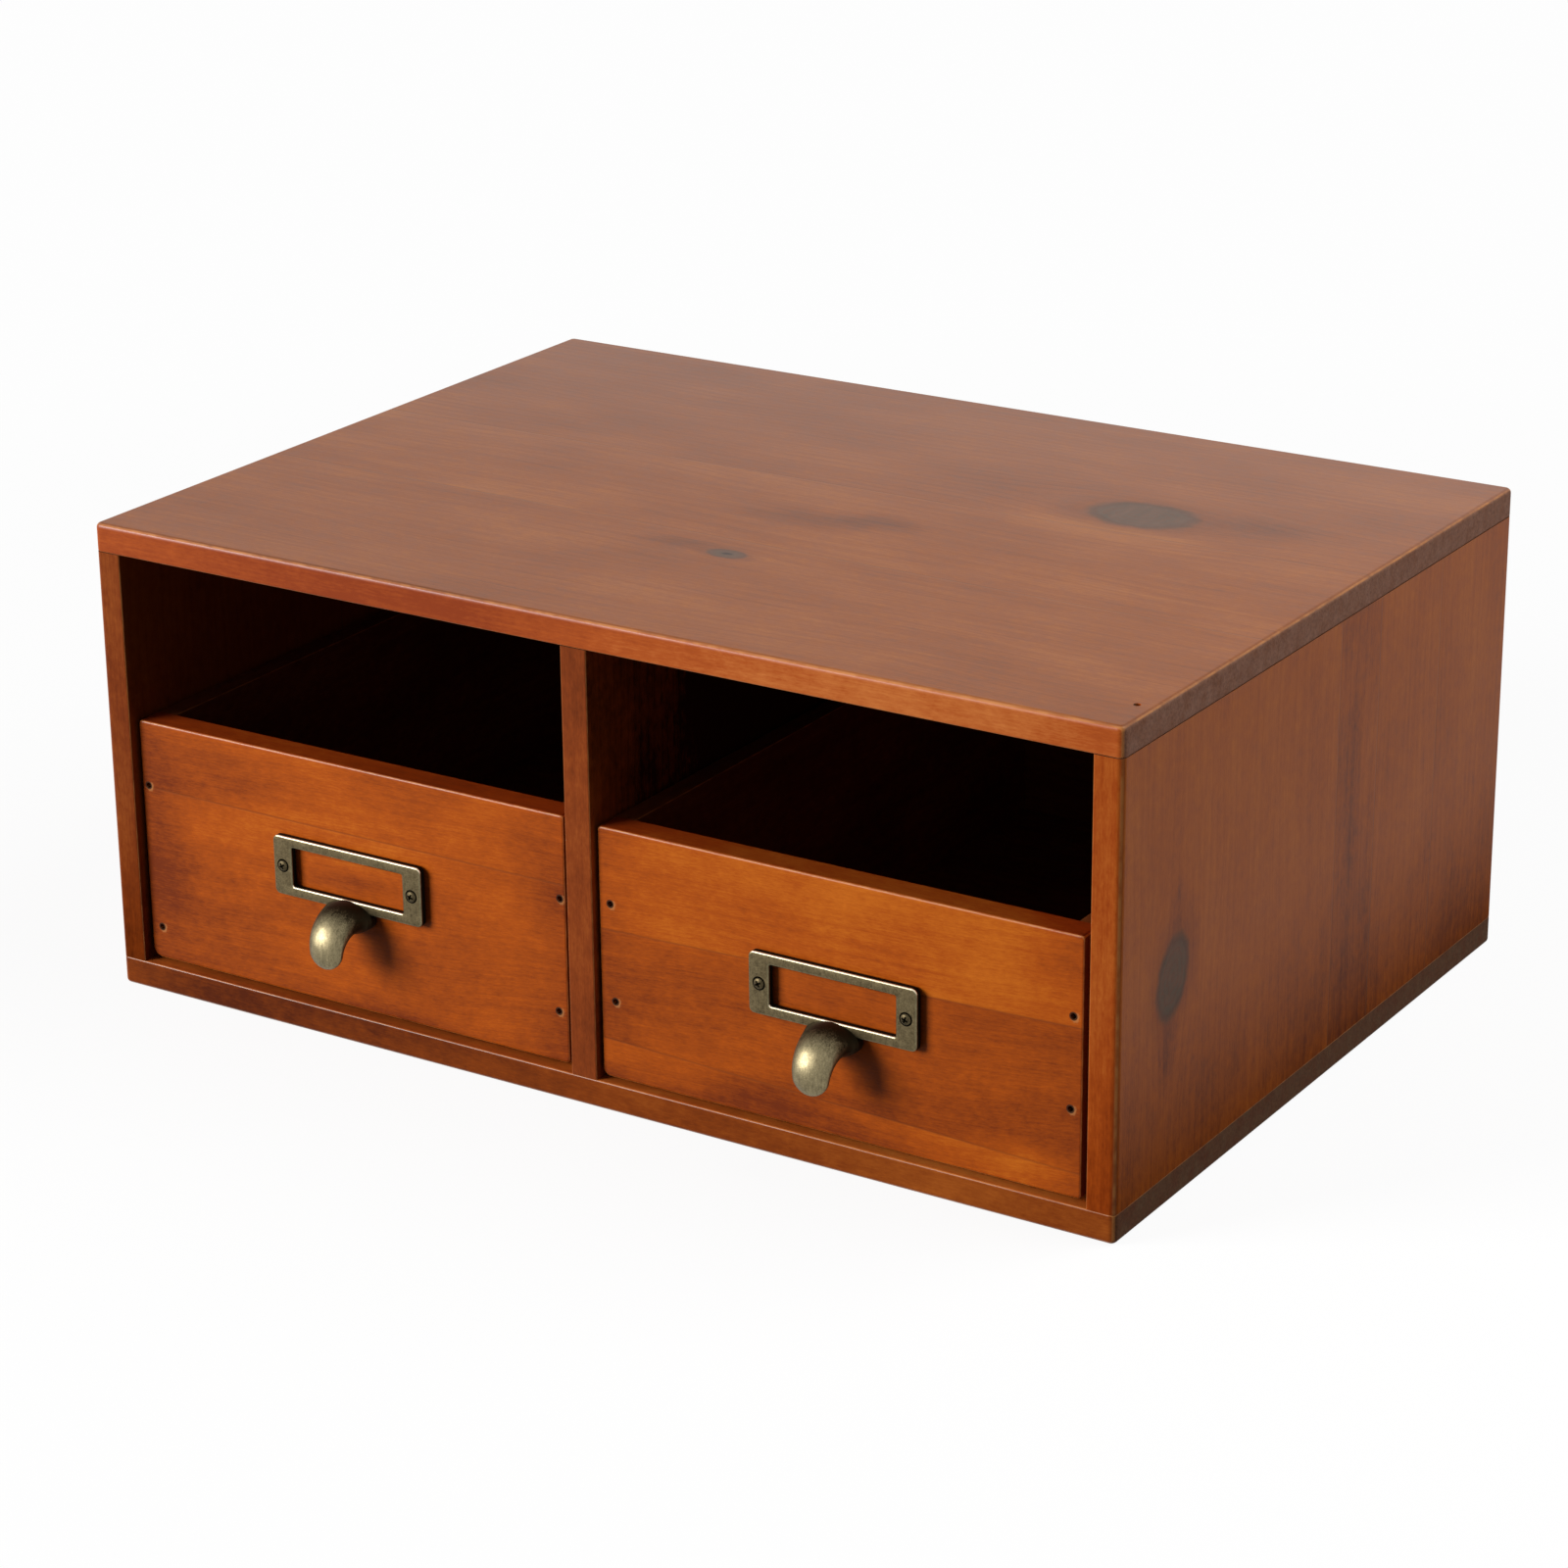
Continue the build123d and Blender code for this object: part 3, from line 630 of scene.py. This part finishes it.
# The drawer fronts are orange pine with soaked-in ends and chipped brad holes. Each hole is given by its
# distance from the front's left or right end and its height in the case.
BRAD_HOLES = {"left": (((2.5, 67.1), (4.3, 20.7)), ((2.0, 62.1), (3.4, 26.4))),
              "right": (((3.9, 64.7), (5.0, 34.5)), ((3.1, 64.2), (3.6, 36.7)))}
FRONT_LOOK = {
    # The left front's third cloud, round the label holder's window, is a painted shadow of the frame
    "left": {"seed": 40.0, "shift": -0.10, "joints": (Joint(17.4, 0.0, 0.08),),
             "clouds": (Cloud(-60.0, -22.0, 34.0, 24.0, -0.16), Cloud(-50.0, 25.0, 36.0, 14.0, -0.08),
                        Cloud(0.0, 2.0, 17.0, 5.0, -0.24))},
    "right": {"seed": 60.0, "shift": -0.02,
              "joints": (Joint(-29.0, 0.03, -0.08), Joint(9.7, -0.029, 0.22)),
              "clouds": (Cloud(64.0, -33.0, 22.0, 9.0, 0.26), Cloud(-50.0, 28.0, 30.0, 12.0, -0.1),
                         Cloud(-12.0, -34.0, 46.0, 10.0, -0.22))}}
# The other drawer boards are darker pine, and matt plywood for the bottoms; part of their darkness is
# painted shade inside the drawers
DRAWER_BOARDS = (("left_side", "YZX", "pine", SATIN), ("right_side", "YZX", "pine", SATIN),
                 ("back", "XZY", "pine", SATIN), ("bottom", "XYZ", "plywood", MATT))

for side, look in FRONT_LOOK.items():
    low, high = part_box(f"{side}_drawer_front")
    middle = (low.z + high.z) / 2 / MM
    half = (high.x - low.x) / 2 / MM
    left_end, right_end = BRAD_HOLES[side]
    holes = [(inset - half, height - middle) for inset, height in left_end]
    holes += [(half - inset, height - middle) for inset, height in right_end]
    # Their upper faces take a darker stain as painted shade under the top board
    stain_board(f"{side}_drawer_front", f"stained_pine_{side}_front", "XZY", FRONT_STAIN, holes=holes,
                sides=((UP, SHADED_DRAWER_TOP),), lean=-0.04, streaks=0.36, mottled=0.36, cloudy=0.8, figure=-0.04,
                edge_soak=0.20, rub_and_highlight=0.8, **look)
    for i, (board, grain, wood, gloss) in enumerate(DRAWER_BOARDS, start=1):
        stain_board(f"{side}_drawer_{board}", f"stained_{wood}_{side}_{board}", grain, DRAWER_STAIN_AND_SHADE,
                    seed=look["seed"] + 3.0 * i, gloss=gloss)


# Metals
#
# The holders are cast brass under a dark patina. The eye gets a mottled, faintly streaked olive grey that
# is brighter where hands rub it, with a painted highlight on rims that face up and painted shade in
# recesses.
# The grit of the casting, some 0.05 mm wide, is too fine to show, so it is drawn coarser, 0.3 mm wide.
# Sizes are in mm.

PATINA_PATCH = 1.81818
CASTING_GRIT = 0.3125
BRUSH_MARK = (0.416667, 1.0, 4.0)
GRIT_RELIEF = 0.06
DARK_TONE = 0.2
LIGHT_TONE = 0.85
DULLER = 0.12
BRIGHTER = 0.06
ROOT_TONE = -0.6
HIGHLIGHT_FROM = (0.35, 0.0, 1.0)


def darkened_metal(name, dark, light, roughness, tone, streaks=0.25, mottled=0.55, worn_and_highlit=None, root=None):
    """Metal under a dark finish; tone is its mean place between its dark and light colours.

    worn_and_highlit: colour of what faces up, rubbed bright and painted with a highlight; root: two places
    along y, in metres, from where the finish lies thick to where hands have thinned it."""
    made, tree = new_material(name)
    add = partial(node, tree)
    placed = add("TexCoord", out="Object")
    in_mm = add("Mapping", placed, (0, 0, 0), (0, 0, 0), PER_MM)
    brushed = add("Mapping", in_mm, (0, 0, 0), (0, 0, 0), [1 / size for size in BRUSH_MARK])
    grit = add("TexNoise", in_mm, 1 / CASTING_GRIT, 2.0)
    value = add("Math", add("TexNoise", in_mm, 1 / PATINA_PATCH, 4.0, 0.65), mottled,
                tone - mottled - streaks / 2, operation="MULTIPLY_ADD")
    value = add("Math", grit, mottled, value, operation="MULTIPLY_ADD")
    value = add("Math", add("TexNoise", brushed, 1.0, 3.0, 0.6), streaks, value, operation="MULTIPLY_ADD")
    if root:
        thick = add("MapRange", add("SeparateXYZ", placed, out="Y"), *root, ROOT_TONE, 0.0)
        value = add("Math", value, thick, operation="ADD")
    tint = add("ValToRGB", value, stops=[(DARK_TONE, colour(dark)), (LIGHT_TONE, colour(light))])
    # Painted highlight, with wear: faces that look up take a pale colour
    if worn_and_highlit:
        up = add("VectorMath", add("TexCoord", out="Normal"), HIGHLIGHT_FROM, operation="DOT_PRODUCT")
        painted_highlight = add("MapRange", up, 0.3, 0.75, **SMOOTH)
        tint = add("Mix", painted_highlight, tint, colour(worn_and_highlit), **COLOURS)
    bump = add("Bump", Strength=BUMP_STRENGTH, Distance=GRIT_RELIEF * MM, Height=grit)
    rough = add("MapRange", value, DARK_TONE, 0.9, roughness + DULLER, roughness - BRIGHTER)
    skin = add("BsdfPrincipled", Base_Color=tint, Metallic=1.0, Roughness=rough, Normal=bump)
    add("OutputMaterial", skin)
    return made


# Cast brass: dark olive where its patina is whole, paler down the tongue, and bright on the rubbed rims,
# with a painted highlight where they face up
patina = darkened_metal("antiqued_cast_brass", "30281A", "7E7052", 0.40, 0.455)
handled = darkened_metal("hand_worn_brass", "2A2418", "A89A76", 0.36, 0.495, streaks=0.35, mottled=0.38,
                         root=(-0.124, -0.136))
rubbed_and_highlit_rim = darkened_metal("rubbed_brass_rim_and_highlight", "3A3424", "8A8062", 0.32, 0.525, worn_and_highlit="EADFC4")
# Turned brass screw heads, a darker olive than the castings
screw = darkened_metal("dark_brass_screw_heads", "241E14", "685C42", 0.38, 0.435)
# Black oxide in corners and recesses, with painted shade laid over it there: near black and dull
shaded_recess = darkened_metal("black_oxide_and_painted_shade", "14110C", "2C261A", 0.60, 0.275)
# Drawn steel wire of the nails and pins, blackened by age to a dull near-black
wire = darkened_metal("blackened_steel_wire", "1C1816", "3C3430", 0.45, 0.475)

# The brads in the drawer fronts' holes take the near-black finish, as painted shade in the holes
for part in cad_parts:
    if part.endswith(("nails", "pins", "brads")):
        dress(part, shaded_recess if part.endswith("front_brads") else wire)


# Label holders with their finger pulls: sizes in mm, x to the right, y up, z out of the drawer's face

HOLDER_WIDTH = 55.0
HOLDER_HEIGHT = 18.9
HOLDER_DEPTH = 2.8
HOLDER_CORNER = 1.8
WINDOW_WIDTH = 41.4
WINDOW_HEIGHT = 12.6
WINDOW_CORNER = 0.6
CARD_GAP = 0.7
CARD_WIDTH = 44.4
CARD_REST = 1.2
LUG_INSET = 0.8
RIM = 0.5

SCREW_SPACING = 48.0
SCREW_HEAD = 1.72
SCREW_DOME = 0.75
SCREW_NECK = 1.032
SCREW_SUNK = 1.2
SEAT_BOTTOM = 1.42
SEAT_TOP = 2.82
SEAT_DEPTH = 2.4
CROSS_LENGTH = 2.5
CROSS_WIDTH = 0.62
CROSS_DEPTH = 1.2
CROSS_MIDDLE = 0.35
CROSS_TAPER = (0.45, 0.7, 1.0)
CROSS_TURNS = (0.5, 1.2)

PULL_TOP = -6.4
PULL_START = 0.5
PULL_REACH = 16.6
PULL_BEND = 12.5
PULL_DROP = 17.9
PULL_WIDTH = 13.3
PULL_FLARE = 4.6
FLARE_LENGTH = 5.5
PULL_THICKNESS = 4.2
PULL_SWELL = 5.8
SWELL_LENGTH = 17.0
TIP_TAPER = 0.22
TAPER_START = 9.0
TIP_ROUND = 4.8
TIP_LAST = 0.9985
TIP_CLOSED = 0.055

# How finely the round forms are drawn
PULL_STEPS = 60
TIP_STEPS = 14
PULL_SEGMENTS = 72
SCREW_SEGMENTS = 32
DOME_STEPS = 8
CORNER_SEGMENTS = 6
RIM_SEGMENTS = 4
CREASE_DEGREES = 32

# Places of the finishes in a holder's list of materials, after its patina
RUBBED_AND_HIGHLIT = 1
SHADED_RECESS = 2
HANDLED = 3

# The tongue's straight run out of the drawer, its bend, and its whole length along its front ridge
PULL_STRAIGHT = PULL_REACH - PULL_BEND - PULL_START
PULL_ARC = PULL_BEND * pi / 2
PULL_LENGTH = PULL_STRAIGHT + PULL_ARC + PULL_DROP - PULL_BEND


def mesh_of(shape, name, materials):
    """Turns a bmesh into a mesh with smooth faces and crisp corners."""
    bmesh.ops.recalc_face_normals(shape, faces=shape.faces)
    mesh = bpy.data.meshes.new(name)
    shape.to_mesh(mesh)
    shape.free()
    for material in materials:
        mesh.materials.append(material)
    mesh.polygons.foreach_set("use_smooth", [True] * len(mesh.polygons))
    mesh.set_sharp_from_angle(angle=radians(CREASE_DEGREES))
    return mesh


def piece(mesh, body, replaced):
    """Links a finished mesh as a piece that rides on a body and stands for a CAD part."""
    made = bpy.data.objects.new(mesh.name, mesh)
    scene.collection.objects.link(made)
    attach(made, body)
    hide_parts(replaced)


def cut(mesh, cutter):
    """Cuts one closed mesh out of another; the cut takes the cutter's material."""
    whole = bpy.data.objects.new("whole", mesh)
    tool = bpy.data.objects.new("tool", cutter)
    for made in (whole, tool):
        scene.collection.objects.link(made)
    carve = whole.modifiers.new("carve", "BOOLEAN")
    carve.operation = "DIFFERENCE"
    carve.solver = "EXACT"
    carve.material_mode = "TRANSFER"
    carve.object = tool
    graph = bpy.context.evaluated_depsgraph_get()
    result = bpy.data.meshes.new_from_object(whole.evaluated_get(graph), depsgraph=graph)
    for made in (whole, tool):
        bpy.data.objects.remove(made)
    result.name = mesh.name
    return result


def block(shape, size):
    """A box round the origin; gives its corners."""
    made = bmesh.ops.create_cube(shape, size=1.0)["verts"]
    bmesh.ops.scale(shape, verts=made, vec=size)
    return made


def rounded_sheet(shape, width, height, corner):
    """Flat face with round corners."""
    before = set(shape.faces)
    made = bmesh.ops.create_grid(shape, x_segments=1, y_segments=1, size=0.5)["verts"]
    bmesh.ops.scale(shape, verts=made, vec=(width, height, 1))
    bmesh.ops.bevel(shape, geom=made, offset=corner, segments=CORNER_SEGMENTS, profile=0.5,
                    affect="VERTICES", material=-1)
    return [face for face in shape.faces if face not in before]


def thicken(shape, faces, start, depth):
    """Extrudes flat faces from a start height by a depth."""
    low = list({v for face in faces for v in face.verts})
    bmesh.ops.translate(shape, verts=low, vec=(0, 0, start))
    grown = bmesh.ops.extrude_face_region(shape, geom=faces)["geom"]
    high = [v for v in grown if isinstance(v, bmesh.types.BMVert)]
    bmesh.ops.translate(shape, verts=high, vec=(0, 0, depth))


def draw_out(shape, segments, places):
    """Draws a round section, of radius 1, from place to place, and gives its last face."""
    moved = bmesh.ops.create_circle(shape, cap_ends=True, segments=segments, radius=1.0)["verts"]
    face = moved[0].link_faces[0]
    last = places[0]
    bmesh.ops.transform(shape, matrix=last, verts=moved)
    for place in places[1:]:
        # Each step leaves its first face behind, as a wall inside the piece that no view shows
        grown = bmesh.ops.extrude_face_region(shape, geom=[face])["geom"]
        moved = [v for v in grown if isinstance(v, bmesh.types.BMVert)]
        face = [f for f in grown if isinstance(f, bmesh.types.BMFace)][0]
        bmesh.ops.transform(shape, matrix=place @ last.inverted(), verts=moved)
        last = place
    return face


def holder_plate():
    """Cast frame with rounded rims and two screw seats."""
    shape = bmesh.new()
    rounded_sheet(shape, HOLDER_WIDTH, HOLDER_HEIGHT, HOLDER_CORNER)
    rounded_sheet(shape, WINDOW_WIDTH, WINDOW_HEIGHT, WINDOW_CORNER)
    bmesh.ops.delete(shape, geom=shape.faces[:], context="FACES_ONLY")
    bmesh.ops.bridge_loops(shape, edges=shape.edges[:])
    thicken(shape, shape.faces[:], CARD_GAP, HOLDER_DEPTH - CARD_GAP)
    shape.normal_update()
    # Painted shade: the side walls of the frame and its window take the near-black finish
    for face in shape.faces:
        if abs(face.normal.z) < 0.5:
            face.material_index = SHADED_RECESS
    rims = [e for e in shape.edges if min(v.co.z for v in e.verts) > HOLDER_DEPTH - 0.01
            and any(abs(f.normal.z) < 0.5 for f in e.link_faces)]
    bmesh.ops.bevel(shape, geom=rims, offset=RIM, segments=RIM_SEGMENTS, profile=0.5, affect="EDGES",
                    material=RUBBED_AND_HIGHLIT)
    casting = mesh_of(shape, "plate", [patina, rubbed_and_highlit_rim, shaded_recess])

    # The screw seats are cut in the near-black finish, a ring of painted shade round each head
    shape = bmesh.new()
    for side in (-1, 1):
        seat = Matrix.Translation((side * SCREW_SPACING / 2, 0, HOLDER_DEPTH))
        bmesh.ops.create_cone(shape, cap_ends=True, segments=SCREW_SEGMENTS, radius1=SEAT_BOTTOM,
                              radius2=SEAT_TOP, depth=SEAT_DEPTH, matrix=seat)
    return cut(casting, mesh_of(shape, "screw_seats", [shaded_recess]))


def holder_back(shape):
    """Two lugs and a ledge behind the frame, which leave the slot for a card."""
    for side in (-1, 1):
        before = set(shape.verts)
        sheet = rounded_sheet(shape, HOLDER_WIDTH - 2 * LUG_INSET, HOLDER_HEIGHT - 2 * LUG_INSET,
                              HOLDER_CORNER)
        thicken(shape, sheet, 0.0, CARD_GAP)
        fresh = [v for v in shape.verts if v not in before]
        geom = fresh + list({e for v in fresh for e in v.link_edges})
        geom += list({f for v in fresh for f in v.link_faces})
        edge = bmesh.ops.bisect_plane(shape, geom=geom, plane_co=(side * CARD_WIDTH / 2, 0, 0),
                                      plane_no=(side, 0, 0), clear_inner=True)["geom_cut"]
        bmesh.ops.holes_fill(shape, edges=[e for e in edge if isinstance(e, bmesh.types.BMEdge)])
    ledge_top = -WINDOW_HEIGHT / 2 - CARD_REST
    ledge = ledge_top + HOLDER_HEIGHT / 2 - LUG_INSET
    made = block(shape, (CARD_WIDTH, ledge, CARD_GAP))
    bmesh.ops.translate(shape, verts=made, vec=(0, ledge_top - ledge / 2, CARD_GAP / 2))


def pull_section(along, shrink):
    """Place and size of the tongue's round section at a distance along its front ridge."""
    tilt = min(max((along - PULL_STRAIGHT) / PULL_BEND, 0.0), pi / 2)
    out = PULL_START + min(along, PULL_STRAIGHT) + PULL_BEND * sin(tilt)
    down = PULL_BEND * (1 - cos(tilt)) + max(0.0, along - PULL_STRAIGHT - PULL_ARC)
    past_face = max(0.0, along - (HOLDER_DEPTH - PULL_START))
    near_tip = max(0.0, (along - TAPER_START) / (PULL_LENGTH - TAPER_START))
    width = (PULL_WIDTH + PULL_FLARE * exp(-past_face / FLARE_LENGTH)) * (1 - TIP_TAPER * near_tip ** 2)
    thick = PULL_THICKNESS + PULL_SWELL * exp(-((past_face / SWELL_LENGTH) ** 2))
    ridge = Vector((0, PULL_TOP - down, out))
    normal = Vector((0, cos(tilt), sin(tilt)))
    travel = Vector((0, -sin(tilt), cos(tilt)))
    across = Vector((1, 0, 0)) * width / 2 * shrink
    place = Matrix((across, normal * thick / 2 * shrink, travel)).transposed().to_4x4()
    place.translation = ridge - normal * thick / 2
    return place


def tongue(shape):
    """Finger pull: a round section drawn along the bend, with a flared root and a round tip."""
    body = PULL_LENGTH - TIP_ROUND
    steps = [(body * i / PULL_STEPS, 1.0) for i in range(PULL_STEPS + 1)]
    turns = [pi / 2 * i / TIP_STEPS for i in range(1, TIP_STEPS)]
    steps += [(body + TIP_ROUND * sin(turn), cos(turn)) for turn in turns]
    steps.append((body + TIP_ROUND * TIP_LAST, TIP_CLOSED))
    before = set(shape.faces)
    draw_out(shape, PULL_SEGMENTS, [pull_section(along, shrink) for along, shrink in steps])
    for skin in set(shape.faces) - before:
        skin.material_index = HANDLED


def crossed_screw():
    """Oval head on a short shank, with a cross recess that narrows downwards."""
    steps = [(SCREW_NECK, -SCREW_SUNK)]
    for turn in [pi / 2 * i / DOME_STEPS for i in range(DOME_STEPS)]:
        steps.append((SCREW_HEAD * cos(turn), SCREW_DOME * sin(turn)))
    places = [Matrix.Translation((0, 0, height)) @ Matrix.Diagonal((radius, radius, 1, 1))
              for radius, height in steps]
    shape = bmesh.new()
    top = draw_out(shape, SCREW_SEGMENTS, places)
    bmesh.ops.poke(shape, faces=[top])
    head = mesh_of(shape, "head", [screw])
    # The cross recess is cut in the near-black finish, as painted shade
    for turn in (0, pi / 2):
        shape = bmesh.new()
        made = block(shape, (CROSS_LENGTH, CROSS_WIDTH, CROSS_DEPTH))
        low = [v for v in made if v.co.z < 0]
        bmesh.ops.scale(shape, verts=low, vec=CROSS_TAPER)
        bmesh.ops.translate(shape, verts=made, vec=(0, 0, SCREW_DOME - CROSS_MIDDLE))
        bmesh.ops.rotate(shape, cent=(0, 0, 0), matrix=Matrix.Rotation(turn, 3, "Z"), verts=made)
        head = cut(head, mesh_of(shape, "cross_arm", [shaded_recess]))
    return head


# The holder's x, y and z are the object's x, z and -y
UPRIGHT = Matrix(((1, 0, 0), (0, 0, -1), (0, 1, 0))).to_4x4()

plate = holder_plate()
head = crossed_screw()
for side in ("left", "right"):
    low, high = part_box(f"{side}_drawer_label_pull")
    middle = Vector(((low.x + high.x) / 2, high.y, high.z - HOLDER_HEIGHT / 2 * MM))
    place = Matrix.Translation(middle) @ UPRIGHT @ Matrix.Scale(MM, 4)
    shape = bmesh.new()
    shape.from_mesh(plate)
    holder_back(shape)
    tongue(shape)
    bmesh.ops.transform(shape, matrix=place, verts=shape.verts)
    piece(mesh_of(shape, f"{side}_cast_label_pull", [patina, rubbed_and_highlit_rim, shaded_recess, handled]),
          f"{side}_drawer", f"{side}_drawer_label_pull")
    shape = bmesh.new()
    for x, turn in zip((-SCREW_SPACING / 2, SCREW_SPACING / 2), CROSS_TURNS):
        before = set(shape.verts)
        shape.from_mesh(head)
        fresh = [v for v in shape.verts if v not in before]
        at = Matrix.Translation((x, 0, HOLDER_DEPTH)) @ Matrix.Rotation(turn, 4, "Z")
        bmesh.ops.transform(shape, matrix=place @ at, verts=fresh)
    piece(mesh_of(shape, f"{side}_oval_screws", [screw, shaded_recess]),
          f"{side}_drawer", f"{side}_drawer_label_screws")
